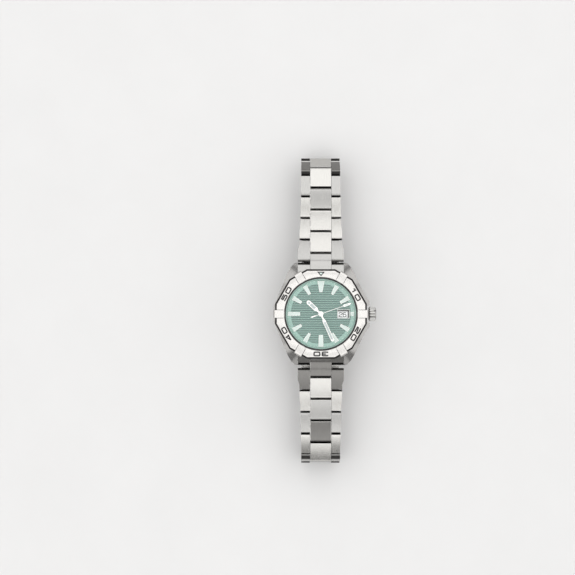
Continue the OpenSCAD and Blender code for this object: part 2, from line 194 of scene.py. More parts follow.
# painted shade: the grooves between the ribs take a much darker copy of the dial's green, for the
# shade that falls in them
GREEN_GROOVE_PAINTED_SHADE = coated("dial_green_groove_painted_shade", (0.04, 0.085, 0.07), (0.055, 0.11, 0.09), (0.35, 0.45),
                   metal=0.3)
GREEN_RING = coated("dial_green_flange", (0.27, 0.43, 0.37), (0.3, 0.46, 0.4), (0.26, 0.36),
                    metal=0.35)
LUME = coated("lume", (0.6, 0.69, 0.65), (0.66, 0.74, 0.7), (0.55, 0.7), 9000)
HAND_LUME = coated("hand_lume", (0.4, 0.46, 0.45), (0.45, 0.51, 0.5), (0.55, 0.7), 9000)
DATE_WHITE = coated("date_white", (0.9, 0.91, 0.91), (0.95, 0.95, 0.95), (0.5, 0.6))
PRINT = coated("print_white", (0.7, 0.78, 0.75), (0.76, 0.83, 0.8), (0.4, 0.5))
RUBBER = coated("gasket_black", (0.012, 0.012, 0.012), (0.02, 0.02, 0.02), (0.55, 0.7))
BRASS = brushed("movement_brass", light=(0.72, 0.6, 0.36), dark=(0.62, 0.5, 0.28))
HOLDER = coated("holder_plastic", (0.09, 0.09, 0.1), (0.12, 0.12, 0.13), (0.4, 0.55))


def clear(name, alpha):
    s = Shader(name, Metallic=0.0, IOR=1.6, Alpha=alpha)
    fac = s.noise((60, 60, 60), 2.0)
    s.blend(fac, (0.93, 0.97, 0.96), (0.96, 0.99, 0.98))
    s.rough(fac, 0.01, 0.03)
    return s.mat


GLASS = clear("sapphire", 0.035)


# ------------------------------------------------------------------ mesh helpers
def smooth_edges(obj, angle):
    """Shades a piece smooth, with edges left sharp where its faces turn by more than angle."""
    obj.data.shade_smooth()
    obj.data.set_sharp_from_angle(angle=math.radians(angle))


def add_part(verts, faces, part):
    """Adds the points and faces of another part to two lists."""
    base = len(verts)
    verts += part[0]
    faces += [tuple(i + base for i in face) for face in part[1]]


def piece(name, verts, faces, mats, ids=None, at=None, smooth=35, body="head", slot=None, cad=()):
    """A mesh piece from points in millimetres, riding on a body.

    ids gives each face's material and at its place, and cad the CAD nodes that the piece stands
    for. slot, the record's material slot, is not used.
    """
    mesh = bpy.data.meshes.new(name)
    mesh.from_pydata([tuple(c * MM for c in v) for v in verts], [], faces)
    for m in mats:
        mesh.materials.append(m)
    if ids is not None:
        for poly, i in zip(mesh.polygons, ids):
            poly.material_index = i
    bm = bmesh.new()
    bm.from_mesh(mesh)
    bmesh.ops.remove_doubles(bm, verts=bm.verts, dist=1e-8)
    bmesh.ops.recalc_face_normals(bm, faces=bm.faces)
    bm.to_mesh(mesh)
    bm.free()
    obj = bpy.data.objects.new(name, mesh)
    scene.collection.objects.link(obj)
    if at is not None:
        obj.matrix_world = at
    if smooth:
        smooth_edges(obj, smooth)
    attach(obj, body)
    if cad:
        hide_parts(*cad)
    return obj


def bevel(obj, width, segments=2, material=-1, angle=35):
    mod = obj.modifiers.new("edge", "BEVEL")
    mod.width = width * MM
    mod.segments = segments
    mod.limit_method = "ANGLE"
    mod.angle_limit = math.radians(angle)
    mod.material = material
    mod.harden_normals = True
    mod.use_clamp_overlap = True


def bake_modifiers(obj):
    """Makes what the modifiers give the object's own mesh."""
    deps = bpy.context.evaluated_depsgraph_get()
    deps.update()
    mesh = bpy.data.meshes.new_from_object(obj.evaluated_get(deps), depsgraph=deps)
    obj.modifiers.clear()
    old = obj.data
    obj.data = mesh
    bpy.data.meshes.remove(old)


def cut(obj, *cutters, op="DIFFERENCE"):
    """Takes raw meshes out of obj, or keeps only what they share with it."""
    temps = []
    for mesh in cutters:
        other = bpy.data.objects.new("cutter", mesh)
        scene.collection.objects.link(other)
        other.parent = obj.parent
        other.matrix_world = obj.matrix_world
        mod = obj.modifiers.new("cut", "BOOLEAN")
        mod.operation = op
        mod.solver = "EXACT"
        mod.object = other
        temps.append(other)
    bpy.context.view_layer.update()
    bake_modifiers(obj)
    for other in temps:
        bpy.data.objects.remove(other)


def raw(verts, faces):
    """A mesh from points in millimetres, used only to cut with."""
    mesh = bpy.data.meshes.new("raw")
    mesh.from_pydata([tuple(c * MM for c in v) for v in verts], [], faces)
    bm = bmesh.new()
    bm.from_mesh(mesh)
    bmesh.ops.recalc_face_normals(bm, faces=bm.faces)
    bm.to_mesh(mesh)
    bm.free()
    return mesh


def prism(points, lo, hi, axis="z"):
    """Points and faces of a prism: a closed outline drawn in a plane, from lo to hi on axis."""
    n = len(points)

    def at(p, h):
        return (p[0], p[1], h) if axis == "z" else (h, p[0], p[1])

    verts = [at(p, lo) for p in points] + [at(p, hi) for p in points]
    faces = [tuple(range(n)), tuple(range(n, 2 * n))]
    faces += [(i, (i + 1) % n, n + (i + 1) % n, n + i) for i in range(n)]
    return verts, faces


def circle(r, n=96, cx=0.0, cy=0.0, a0=0.0):
    turns = [a0 + 2 * math.pi * i / n for i in range(n)]
    return [(cx + r * math.cos(a), cy + r * math.sin(a)) for a in turns]


def ring_faces(n, m):
    """Faces of a closed ring of n outlines, each of m points."""
    faces = []
    for i in range(n):
        j = (i + 1) % n
        faces += [(i * m + k, i * m + (k + 1) % m, j * m + (k + 1) % m, j * m + k)
                  for k in range(m)]
    return faces


def lathe(profile, n=128, centre=(0, 0, 0), axis="z"):
    """Turns a closed outline of (radius, height) about an axis."""
    verts = []
    m = len(profile)
    for i in range(n):
        a = 2 * math.pi * i / n
        for r, h in profile:
            x, y, z = r * math.cos(a), r * math.sin(a), h
            if axis == "x":
                x, y, z = h, r * math.cos(a), r * math.sin(a)
            verts.append((x + centre[0], y + centre[1], z + centre[2]))
    return verts, ring_faces(n, m)


def solid_lathe(profile, n=128, centre=(0, 0, 0), axis="z"):
    """Turns an open outline of (radius, height) that starts and ends on the axis."""
    verts, faces = lathe(profile[1:-1], n, centre, axis)
    m = len(profile) - 2
    faces = [f for i, f in enumerate(faces) if i % m != m - 1]
    for end, k in ((profile[0], 0), (profile[-1], m - 1)):
        tip = (end[1], 0, 0) if axis == "x" else (0, 0, end[1])
        verts.append(tuple(a + b for a, b in zip(tip, centre)))
        c = len(verts) - 1
        faces += [(c, i * m + k, ((i + 1) % n) * m + k) for i in range(n)]
    return verts, faces


def turn_z(verts, degrees):
    """Turns points clockwise as seen from above."""
    a = -math.radians(degrees)
    return [(x * math.cos(a) - y * math.sin(a), x * math.sin(a) + y * math.cos(a), z)
            for x, y, z in verts]


# ------------------------------------------------------------------ bracelet
PITCH, LINK_T, QUARTER, NOSE_R, PIN_R = 9.6, 3.6, 2.4, 2.1, 0.6
CENTRE_W, SIDE_GAP, END_W, TAPER, NEAR_W = 9.3, 0.12, 17.0, 0.56, 20.4
HALF_T = LINK_T / 2
CROWNING = 0.1          # how much a link's face falls from its middle to its ends


def row_w(k):
    return END_W + (NEAR_W - END_W) * TAPER**k


def columns(y0, y1, nose_at=None):
    """Side shape of a link as (y, bottom, top) columns: a crowned face, and a round nose
    about a hinge at one end."""
    mid, half = (y0 + y1) / 2, (y1 - y0) / 2
    ys = [y0 + (y1 - y0) * i / 10 for i in range(11)]
    if nose_at is not None:
        turn = [NOSE_R * math.cos(math.radians(a)) for a in (12, 24, 36, 48, 59, 70, 80, 90)]
        side = -1 if nose_at < mid else 1
        tips = [nose_at + side * t for t in turn]
        ys = [y for y in ys if (y - nose_at) * side < -0.3] + tips
        ys.sort()
    out = []
    for y in ys:
        top = HALF_T - CROWNING * ((y - mid) / half) ** 2
        bottom = -HALF_T + 0.3 * CROWNING * ((y - mid) / half) ** 2
        if nose_at is not None and (y - nose_at) * side > 0:
            reach = math.sqrt(max(NOSE_R**2 - (y - nose_at) ** 2, 0))
            top, bottom = min(top, reach), max(bottom, -reach)
        out.append((y, bottom, top))
    return out


def column_solid(cols, side):
    """Points and faces of a solid from columns; side(y) gives its two edges in X."""
    verts, faces = [], []
    for y, b, t in cols:
        x0, x1 = side(y)
        verts += [(x0, y, b), (x1, y, b), (x1, y, t), (x0, y, t)]
    n = len(cols)
    faces.append((0, 1, 2, 3))
    faces.append(tuple(4 * (n - 1) + i for i in (3, 2, 1, 0)))
    for i in range(n - 1):
        a, b = 4 * i, 4 * i + 4
        faces += [(a + j, a + (j + 1) % 4, b + (j + 1) % 4, b + j) for j in range(4)]
    return verts, faces


def hole_cutter(x0, x1, y, r, z=0.0):
    return raw(*prism(circle(r, 32, y, z), x0, x1, axis="x"))


def edge_x(k, y):
    """Outer edge of row k at a distance y from its hinge."""
    w0, w1 = row_w(k - 1) / 2, row_w(k) / 2
    shoulder = 0.45 if k == 1 else 0.2
    t = min(max((y / (PITCH - QUARTER) - shoulder) / (0.75 - shoulder), 0), 1)
    return w0 + (w1 - w0) * (3 * t * t - 2 * t**3)


def link_ids(cols, nose_at):
    """Material of each face of a column solid: ends and the round of the nose lie in shade."""
    ids = [2, 2]
    for (y0, _, _), (y1, _, _) in zip(cols, cols[1:]):
        nose = nose_at is not None and min(abs(y0 - nose_at), abs(y1 - nose_at)) > 1.6
        nose = nose and (y0 + y1 - 2 * nose_at) * (cols[0][0] + cols[-1][0] - 2 * nose_at) < 0
        ids += [0, 0, 2 if nose else 0, 0]
    return ids


# painted light and shade: satin links seen from above are lighter or darker by turns, as each
# catches the light, so each link takes a lighter or darker copy of one brushed steel
TONES = {"l": STEEL, "m": STEEL_PAINTED_HALF_SHADE, "d": STEEL_PAINTED_SHADE}
SIDE_TONES = {"12": "mllmdmlmlm", "6": "dlmlmdmlml"}
CENTRE_TONES = {"12": "llmllmmlml", "6": "lmdlmlmlml"}


def link_row(side, k, at, last):
    """Row k of a side: two outer links, a centre link half a pitch on, and the pins."""
    body, node, tag = f"row_{side}_{k}", f"link_row_{side}_{k}", f"{side}_{k}"
    outer, middle = TONES[SIDE_TONES[side][k - 1]], TONES[CENTRE_TONES[side][k - 1]]
    tip = PITCH - QUARTER
    cols = columns(-NOSE_R, tip, nose_at=0)
    inner = CENTRE_W / 2 + SIDE_GAP
    for name, s in (("right", 1), ("left", -1)):
        obj = piece(f"link_{name}_{tag}",
                    *column_solid(cols, lambda y: tuple(sorted((s * inner, s * edge_x(k, y))))),
                    [outer, POLISH, SHADE], ids=link_ids(cols, 0), at=at, smooth=0, body=body,
                    slot="steel_brushed", cad=(node,) if s > 0 else ())
        w = edge_x(k, 0)
        cut(obj, hole_cutter(*sorted((s * (w - 1.1), s * (w + 1))), 0, PIN_R + 0.1),
            hole_cutter(*sorted((s * (w - 1.3), s * (w + 1))), PITCH / 2, PIN_R + 0.1))
        bevel(obj, 0.3, 3, material=1)
        smooth_edges(obj, 40)
    far = PITCH - 0.95 if last else PITCH + NOSE_R
    cols = columns(QUARTER, far, nose_at=None if last else PITCH)
    obj = piece(f"link_centre_{tag}", *column_solid(cols, lambda y: (-CENTRE_W / 2, CENTRE_W / 2)),
                [middle, POLISH, SHADE], ids=link_ids(cols, None if last else PITCH), at=at,
                smooth=0, body=body, slot="steel_brushed")
    if last:
        cut(obj, hole_cutter(-9, 9, PITCH, 1.05))
    bevel(obj, 0.3, 3, material=1)
    smooth_edges(obj, 40)
    # both pins, with chamfered ends that stay just inside the links
    verts, faces = [], []
    for y in (0, PITCH / 2):
        half = min(edge_x(k, 0), edge_x(k, PITCH / 2)) - 0.22
        outline = [(0, -half), (PIN_R * 0.75, -half), (PIN_R, -half + 0.16), (PIN_R, half - 0.16),
                   (PIN_R * 0.75, half), (0, half)]
        add_part(verts, faces, solid_lathe(outline, 24, (0, y, 0), axis="x"))
    piece(f"link_pins_{tag}", verts, faces, [PIN], at=at, body=body, slot="pin_steel")


def joint_at(name):
    return Vector(JOINTS[name]["pos_m"]) / MM


def bracelet(side, ends):
    """All rows of one side. Their hinges are the joints, and ends is the last hinge."""
    s = 1 if side == "12" else -1
    points = [joint_at(f"link_{side}_{k}") for k in range(1, 11)] + [ends]
    for k in range(1, 11):
        here, there = points[k - 1], points[k]
        slope = math.atan2(there.z - here.z, s * (there.y - here.y))
        turn = Matrix.Rotation(slope, 4, "X")
        if s < 0:
            turn = Matrix.Rotation(math.pi, 4, "Z") @ turn
        at = Matrix.Translation(here * MM) @ turn
        link_row(side, k, at, side == "12" and k == 10)


BAR_AT = (low("clasp_adjuster_bar") + high("clasp_adjuster_bar")) / 2
LINK_BAR_AT = joint_at("clasp_link")
bracelet("12", BAR_AT)
bracelet("6", LINK_BAR_AT)


# ------------------------------------------------------------------ case
CASE_OUTLINE = [(21.0, 3.2), (14.6, 18.6), (13.3, 20.8), (11.7, 22.5), (10.3, 22.8)]
CROWN_GUARD = [(19.2, 9.0), (21.6, 5.4), (21.6, 3.9), (20.3, 3.5)]
CASE_SIDE = [(13, 7.6), (15.5, 7.0), (21.4, 4.2), (22.8, 2.8), (22.8, 0.2), (21.6, -0.4),
             (18.6, -0.2), (16.5, 1.2)]
LUG_GAP, LUG_BAR = 20.6, (20.6, 1.9)
GAP_R, GAP_ARC = 18.9, 33.02      # the round of the case between the lugs, and half its arc
END_CUT_R = 19.05                 # the round of the end links that faces it
STEM_Z = 4.2                      # height of the crown and stem


def case_outline():
    """The case from above: symmetric, but for the guards each side of the crown."""
    up = [(-x, y) for x, y in CASE_OUTLINE] + CASE_OUTLINE[:0:-1] + CROWN_GUARD
    return up + [(x, -y) for x, y in reversed(up)]


case_side = CASE_SIDE + [(-y, z) for y, z in reversed(CASE_SIDE)]
case = piece("middle_case", *prism(case_outline(), -1, 9), [CASE_STEEL_PAINTED_SHADE, POLISH], smooth=0,
             slot="steel_brushed", cad=("mid_case",))
cut(case, raw(*prism(case_side, -30, 30, axis="x")), op="INTERSECT")
lugs = []
for s in (1, -1):
    arc = [(GAP_R * math.sin(a), s * GAP_R * math.cos(a))
           for a in [math.radians(-GAP_ARC + 2 * GAP_ARC * i / 24) for i in range(25)]]
    block = arc + [(LUG_GAP / 2, s * 30), (-LUG_GAP / 2, s * 30)]
    block[0], block[24] = (-LUG_GAP / 2, block[0][1]), (LUG_GAP / 2, block[24][1])
    lugs.append(raw(*prism(block, -5, 12)))
bore = [(0, -3), (17.1, -3), (17.1, 1.8), (15.95, 1.8), (15.95, 2.8), (15.6, 2.8), (15.6, 12),
        (0, 12)]
cut(case, *lugs)
cut(case, raw(*solid_lathe(bore)))
for s in (1, -1):
    cut(case, raw(*prism(circle(0.5, 24, s * LUG_BAR[0], LUG_BAR[1]), -11.7, 11.7, axis="x")))
cut(case, raw(*solid_lathe([(0, 12), (1.5, 12), (1.5, 30), (0, 30)], 32, (0, 0, STEM_Z), axis="x")))
bevel(case, 0.35, 3, material=1, angle=28)
smooth_edges(case, 30)

piece("case_neck", *lathe([(15.62, 7.5), (17.3, 7.5), (17.3, 9.1), (17.2, 9.2), (16.5, 9.2),
                           (16.5, 8.3), (15.62, 8.3)]), [SHADE], slot="steel_brushed")

# end links: two shoulders that follow the case, and a raised centre with the tongue
for side, s in (("12", 1), ("6", -1)):
    node = f"end_link_{side}"
    at = Matrix.Identity(4) if s > 0 else Matrix.Rotation(math.pi, 4, "Z")
    first = joint_at(f"link_{side}_1")
    first_y, first_z = abs(first.y), first.z
    # painted shade: both end links take darker copies of the brushed steel, the one at 6 the
    # darkest, for how each catches the light
    shoulder = [(18.95, 0.02), (22.6, 0.02), (22.72, 2.4), (21.7, 3.75), (18.1, 5.35),
                (15.5, 5.35), (15.5, 0.02)]
    for name, x0, x1 in (("left", -10.2, -4.78), ("right", 4.78, 10.2)):
        obj = piece(f"{node}_{name}", *prism(shoulder, x0, x1, axis="x"),
                    [STEEL_PAINTED_HALF_SHADE if s > 0 else STEEL_PAINTED_SHADE, POLISH], at=at, smooth=0,
                    slot="steel_brushed", cad=(node,) if x0 < 0 else ())
        cut(obj, raw(*prism(circle(END_CUT_R, 256), -5, 12)))
        cut(obj, hole_cutter(-12, 12, LUG_BAR[0], 0.8, LUG_BAR[1]))
        bevel(obj, 0.22, 3, material=1)
    top = [(15.5, 5.42), (18.3, 5.42), (21.2, 4.25), (22.7, 3.5), (first_y - 0.8, 3.48)]
    nose = [(first_y + NOSE_R * math.cos(a), first_z + NOSE_R * math.sin(a))
            for a in [math.radians(58 - 10 * i) for i in range(12)]]
    under = [(first_y - 0.8, -0.1), (19.0, -0.1), (15.5, 0.0)]
    nose = [p for p in nose if -0.1 <= p[1] <= 3.5]
    obj = piece(f"{node}_centre", *prism(top + nose + under, -4.65, 4.65, axis="x"),
                [STEEL_PAINTED_HALF_SHADE if s > 0 else STEEL_PAINTED_SHADE, POLISH], at=at, smooth=0, slot="steel_brushed")
    cut(obj, raw(*prism(circle(END_CUT_R, 256), -5, 12)))
    cut(obj, hole_cutter(-12, 12, LUG_BAR[0], 0.8, LUG_BAR[1]))
    bevel(obj, 0.22, 3, material=1, angle=38)
    smooth_edges(obj, 30)
    bar = [(0, -11.5), (0.35, -11.5), (0.45, -11.4), (0.45, -10.0), (0.72, -10.0), (0.72, -9.2),
           (0.55, -9.2), (0.55, -8.9), (0.72, -8.9), (0.72, 8.9), (0.55, 8.9), (0.55, 9.2),
           (0.72, 9.2), (0.72, 10.0), (0.45, 10.0), (0.45, 11.4), (0.35, 11.5), (0, 11.5)]
    piece(f"spring_bar_{side}", *solid_lathe(bar, 24, (0, s * LUG_BAR[0], LUG_BAR[1]), axis="x"),
          [PIN], slot="pin_steel", cad=("case_spring_bars",) if s > 0 else ())


# ------------------------------------------------------------------ bezel
FLAT, SHORT = 19.8, 20.3         # centre to the long flats, and to the short ones
TAB_HALF, SHADOW_LINE_W = 1.74, 0.18    # half a grip tab, and the painted shadow line beside it
FACE_R, FACE_Z = 16.6, 9.88      # inner edge of the sloping face, and its height there
FACE_END = 0.962                 # its outer edge, as a share of the way to the rim


def rim(theta):
    """Distance from the centre to the twelve-sided edge at theta degrees from 12 o'clock."""
    best = 99.0
    for i in range(12):
        d = math.radians((theta - 30 * i + 180) % 360 - 180)
        if abs(d) < 1.2:
            best = min(best, (FLAT if i % 2 == 0 else SHORT) / math.cos(d))
    return best


def rim_angles():
    corner = math.degrees(math.atan2(SHORT / FLAT - math.cos(math.radians(30)),
                                     math.sin(math.radians(30))))
    out = []
    for i in range(6):
        out += [60 * i + t for t in (-corner, corner)]
        out += [60 * i + t for t in range(-15, 16, 3)]
        out += [60 * i + 30 + t for t in range(-9, 10, 3)]
    return sorted(set(round(a % 360, 5) for a in out))


def rim_ring(profile):
    """A ring from (radius, 0) or (0, share of the edge) pairs with a height for each."""
    angles = rim_angles()
    verts, m = [], len(profile)
    for a in angles:
        t = math.radians(a)
        for r, share, z in profile:
            d = r if r else share * rim(a)
            verts.append((d * math.sin(t), d * math.cos(t), z))
    return verts, ring_faces(len(angles), m)


ring_profile = [(17.4, 0, 7.97), (17.4, 0, 9.3), (16.08, 0, 9.3), (16.08, 0, 9.62),
                (16.3, 0, 9.84), (FACE_R, 0, FACE_Z), (0, FACE_END, 9.74), (0, 0.975, 9.66),
                (0, 0.999, 9.2), (0, 0.999, 8.5), (0, 0.985, 8.0), (0, 0.97, 7.97)]
verts, faces = rim_ring(ring_profile)
ids = [(1, 1, 2, 2, 0, 0, 2, 2, 2, 2, 2, 1)[i % 12] for i in range(len(faces))]
bezel = piece("bezel_ring", verts, faces, [BEZEL_TOP, POLISH, SHADE], ids=ids, smooth=20,
              body="bezel", slot="steel_polished", cad=("bezel",))
bevel(bezel, 0.12, 2, angle=22)


def face_z(x, y):
    """Height of the bezel's sloping face at a point."""
    r, edge = math.hypot(x, y), FACE_END * rim(math.degrees(math.atan2(x, y)))
    if r > FACE_R:
        return FACE_Z - 0.14 * (r - FACE_R) / (edge - FACE_R)
    return 9.84 + (r - 16.3) * 0.13


pad_side = [(16.1, 9.3), (16.1, 9.7), (16.35, 9.93), (19.6, 9.8), (20.5, 9.6), (20.98, 9.1),
            (21.05, 8.5), (20.7, 8.15), (19.0, 8.15), (19.0, 9.3)]
for i in range(6):
    v, f = prism(pad_side, -TAB_HALF, TAB_HALF, axis="x")
    pad = piece(f"bezel_tab_{i}", turn_z(v, 30 + 60 * i), f, [BEZEL_TOP, POLISH, SHADE],
                ids=[2 if n in (7, 8, 9) else 0 for n in range(len(f))], smooth=0, body="bezel",
                slot="steel_polished")
    bevel(pad, 0.12, 2, angle=25)
    smooth_edges(pad, 25)
    # a fine painted shadow line each side of the tab, laid on the ring's face
    for s in (1, -1):
        x0, x1 = s * TAB_HALF, s * (TAB_HALF + SHADOW_LINE_W)
        v, f = prism([(x0, FACE_R), (x1, FACE_R), (x1, 19.6), (x0, 19.6)], 9.4, 9.885)
        v = [(x, y, z if z < 9.5 else face_z(x, y) + 0.012) for x, y, z in turn_z(v, 30 + 60 * i)]
        piece(f"bezel_shadow_line_{i}_{'r' if s > 0 else 'l'}", v, f, [ENAMEL], smooth=0, body="bezel",
              slot="steel_polished")

# each digit as strokes in a unit square
DIGITS = {
    "0": [[(0, .2), (.05, .06), (.2, 0), (.8, 0), (.95, .06), (1, .2), (1, .8), (.95, .94), (.8, 1),
           (.2, 1), (.05, .94), (0, .8), (0, .2)]],
    "1": [[(.2, .78), (.62, 1), (.62, 0)]],
    "2": [[(0, .74), (.03, .92), (.2, 1), (.8, 1), (.97, .92), (1, .74), (.95, .6), (.8, .52),
           (.2, .4), (.04, .3), (0, .14), (0, 0), (1, 0)]],
    "3": [[(0, .84), (.04, .95), (.2, 1), (.8, 1), (.96, .93), (1, .76), (.96, .6), (.8, .53),
           (.35, .53)], [(.8, .53), (.96, .45), (1, .26), (.96, .07), (.8, 0), (.2, 0), (.04, .05),
           (0, .16)]],
    "4": [[(.76, 0), (.76, 1), (0, .32), (0, .26), (1, .26)]],
    "5": [[(.96, 1), (.06, 1), (.06, .57), (.8, .57), (.96, .5), (1, .3), (.96, .07), (.8, 0),
           (.2, 0), (.04, .06), (0, .16)]],
    "6": [[(.96, .9), (.8, 1), (.2, 1), (.04, .93), (0, .8), (0, .2), (.04, .07), (.2, 0), (.8, 0),
           (.96, .07), (1, .25), (1, .36), (.96, .5), (.8, .57), (.02, .57)]],
}


def ribbon(points, width, z0, z1):
    """A flat stroke of one width along a line of points, as a thin solid."""
    closed = points[0] == points[-1]
    pts = [Vector(p) for p in (points[:-1] if closed else points)]
    n = len(pts)
    left, right = [], []
    for i, p in enumerate(pts):
        before = pts[i - 1] if closed or i > 0 else None
        after = pts[(i + 1) % n] if closed or i < n - 1 else None
        dirs = [d.normalized() for d in ((p - before) if before else None,
                                         (after - p) if after else None) if d is not None]
        tangent = sum(dirs, Vector((0, 0))).normalized()
        normal = Vector((-tangent.y, tangent.x))
        miter = min(1 / max(abs(normal.dot(Vector((-dirs[0].y, dirs[0].x)))), 0.5), 1.6)
        left.append(p + normal * width / 2 * miter)
        right.append(p - normal * width / 2 * miter)
    verts = [(v.x, v.y, z) for z in (z0, z1) for row in (left, right) for v in row]
    faces = []
    for i in range(n if closed else n - 1):
        j = (i + 1) % n
        a, b, c, d = i, j, n + j, n + i
        faces += [(a, d, c, b), (2 * n + a, 2 * n + b, 2 * n + c, 2 * n + d),
                  (a, b, 2 * n + b, 2 * n + a), (d, 2 * n + d, 2 * n + c, c)]
    if not closed:
        faces += [(0, 2 * n, 3 * n, n), (n - 1, 2 * n - 1, 4 * n - 1, 3 * n - 1)]
    return verts, faces


def number(text, width, height, gap, stroke, z0, z1, cy):
    """A number centred on X 0, with its middle at Y cy."""
    verts, faces = [], []
    total = len(text) * width + (len(text) - 1) * gap
    for i, digit in enumerate(text):
        x0 = -total / 2 + i * (width + gap)
        for line in DIGITS[digit]:
            pts = [(x0 + x * width, cy + (y - 0.5) * height) for x, y in line]
            add_part(verts, faces, ribbon(pts, stroke, z0, z1))
    return verts, faces


for i, text in enumerate(("10", "20", "30", "40", "50")):
    v, f = number(text, 2.5, 1.62, 1.1, 0.6, 9.5, 9.885, 17.65)
    v = [(x, y, z if z < 9.6 else face_z(x, y) + 0.01) for x, y, z in v]
    piece(f"bezel_number_{text}", turn_z(v, 60 * (i + 1)), f, [ENAMEL], smooth=0, body="bezel",
          slot="steel_polished")
for name, mat, pts, lift in (
        ("bezel_triangle", ENAMEL, [(-1.75, 18.7), (1.75, 18.7), (0, 16.65)], 0.008),
        ("bezel_triangle_dot", LUME, [(-0.8, 18.25), (0.8, 18.25), (0, 17.3)], 0.02)):
    v, f = prism(pts, 9.5, 10)
    v = [(x, y, z if z < 9.6 else face_z(x, y) + lift) for x, y, z in v]
    piece(name, v, f, [mat], smooth=0, body="bezel", slot="steel_polished")

spring = lathe([(17.5, 7.64), (18.6, 7.64), (18.6, 7.82), (17.5, 7.82)])
piece("bezel_spring_ring", *spring, [PIN], slot="movement_plate", cad=("bezel_click_spring",))

# ------------------------------------------------------------------ crystal and flange
disc_side = [(0, 8.3), (15.7, 8.3), (15.9, 8.5), (15.9, 10.35), (15.55, 10.7), (0, 10.7)]
piece("crystal_disc", *solid_lathe(disc_side, 160), [GLASS], smooth=25, slot="sapphire",
      cad=("crystal",))
# the date magnifier: a domed grid over its flat copy, joined round the edge
lens_verts, lens_faces = [], []
NX, NY = 16, 12
for j in range(NY + 1):
    for i in range(NX + 1):
        u, v = 2 * i / NX - 1, 2 * j / NY - 1
        top = 10.74 + 0.78 * (1 - 0.5 * u**2 - 0.32 * v**2) * (1 - u**8 * 0.35) * (1 - v**8 * 0.35)
        lens_verts.append((10.1 + 3.15 * u, 2.35 * v, top))
count = len(lens_verts)
lens_verts += [(x, y, 10.71) for x, y, z in lens_verts]
for j in range(NY):
    for i in range(NX):
        a = j * (NX + 1) + i
        quad = (a, a + 1, a + NX + 2, a + NX + 1)
        lens_faces += [quad, tuple(k + count for k in quad)]
edge = (list(range(NX + 1)) + [(j + 1) * (NX + 1) + NX for j in range(NY)]
        + [NY * (NX + 1) + i for i in range(NX - 1, -1, -1)]
        + [j * (NX + 1) for j in range(NY - 1, 0, -1)])
for a, b in zip(edge, edge[1:] + edge[:1]):
    lens_faces.append((a, b, b + count, a + count))
piece("date_lens", lens_verts, lens_faces, [GLASS], smooth=50, slot="sapphire",
      cad=("date_magnifier",))
seal_side = [(15.93, 8.3), (16.45, 8.3), (16.45, 9.15), (16.3, 9.2), (15.93, 9.2)]
piece("crystal_seal", *lathe(seal_side), [RUBBER], slot="gasket_black", cad=("crystal_gasket",))
flange_side = [(15.5, 6.42), (14.9, 6.42), (15.2, 8.1), (15.3, 8.28), (15.5, 8.28)]
piece("flange_ring", *lathe(flange_side, 160), [GREEN_RING], slot="dial_green", cad=("rehaut",))


# ------------------------------------------------------------------ dial
RIB_R, DIAL_R, RIB_PITCH = 13.35, 15.5, 1.0
RIB_TOP, RIB_FOOT = 6.4, 6.31
SUNK, SEAT = 0.02, 6.38   # overlap of stacked parts, and the foot of what stands on the ribs


def half_chord(y, r=RIB_R):
    return math.sqrt(max(r * r - y * y, 0))


def strip(y0, y1, z0, z1, r=RIB_R):
    """A band across the dial between two heights, with ends that follow its round edge."""
    n = 5
    ys = [y0 + (y1 - y0) * i / n for i in range(n + 1)]
    pts = [(half_chord(y, r), y) for y in ys] + [(-half_chord(y, r), y) for y in reversed(ys)]
    return prism(pts, z0, z1)


# the plate shows between the ribs in the painted-shade green of the grooves
plate_side = [(0, 6.02), (DIAL_R, 6.02), (DIAL_R, RIB_FOOT), (0, RIB_FOOT)]
plate = piece("dial_plate", *solid_lathe(plate_side, 128), [GREEN_GROOVE_PAINTED_SHADE], slot="dial_green",
              cad=("dial",))
verts, faces = [], []
for i in range(-13, 14):
    y = i * RIB_PITCH
    y0, y1 = max(y - 0.34, -13.25), min(y + 0.34, 13.25)
    add_part(verts, faces, strip(y0, y1, RIB_FOOT - SUNK, RIB_TOP))
ribs = piece("dial_ribs", verts, faces, [GREEN_HIGH], smooth=0, slot="dial_green")
border_side = [(13.3, RIB_FOOT - SUNK), (14.9, RIB_FOOT - SUNK), (14.9, RIB_TOP),
               (14.32, RIB_TOP), (14.28, RIB_TOP - 0.05), (14.2, RIB_TOP - 0.05),
               (14.16, RIB_TOP), (13.3, RIB_TOP)]
piece("dial_border", *lathe(border_side, 160), [GREEN_RING], slot="dial_green")
window = prism([(7.5, -1.8), (12.5, -1.8), (12.5, 1.8), (7.5, 1.8)], 5, 8)
pipe_hole = solid_lathe([(0, 5), (1.1, 5), (1.1, 8), (0, 8)], 48)
for obj in (plate, ribs):
    cut(obj, raw(*window), raw(*pipe_hole))

verts, faces = [], []
for i in range(60):
    if i % 5 == 0:
        continue
    v, f = prism([(-0.07, 14.4), (0.07, 14.4), (0.07, 14.85), (-0.07, 14.85)], SEAT, 6.415)
    add_part(verts, faces, (turn_z(v, 6 * i), f))
piece("dial_minute_track", verts, faces, [PRINT], smooth=0, slot="marker_white")

